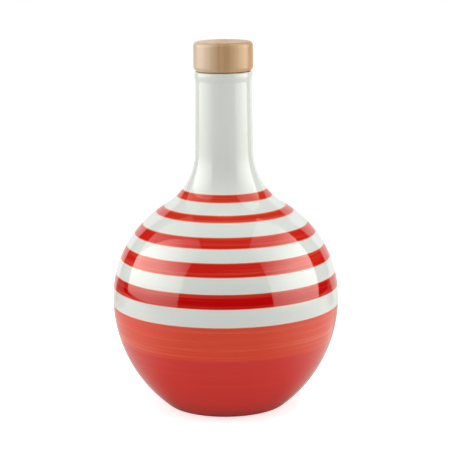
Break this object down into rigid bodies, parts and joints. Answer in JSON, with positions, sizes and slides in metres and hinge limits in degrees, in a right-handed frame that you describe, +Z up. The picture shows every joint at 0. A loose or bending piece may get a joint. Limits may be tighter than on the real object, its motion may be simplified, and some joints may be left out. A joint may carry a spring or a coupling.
{
  "type": "ceramic olive oil bottle",
  "caption": "Round-bellied glazed ceramic oil bottle with painted bands, a slim neck with a rolled lip and a wooden bar-top stopper.",
  "frame": {"origin": "on the bottle's axis at the level of the surface it stands on", "axes": "+Z up along the axis of revolution, through the neck and the stopper"},
  "size_m": [0.107, 0.107, 0.1723],
  "materials": {
    "glaze": "glossy white glaze with painted coral and red bands",
    "beech": "fine sanded beech with a satin lacquer",
    "cork": "matt agglomerated cork"
  },
  "bodies": {
    "root": {"bottle": "glaze", "stopper_head": "beech", "stopper_shank": "cork"}
  },
  "joints": []
}
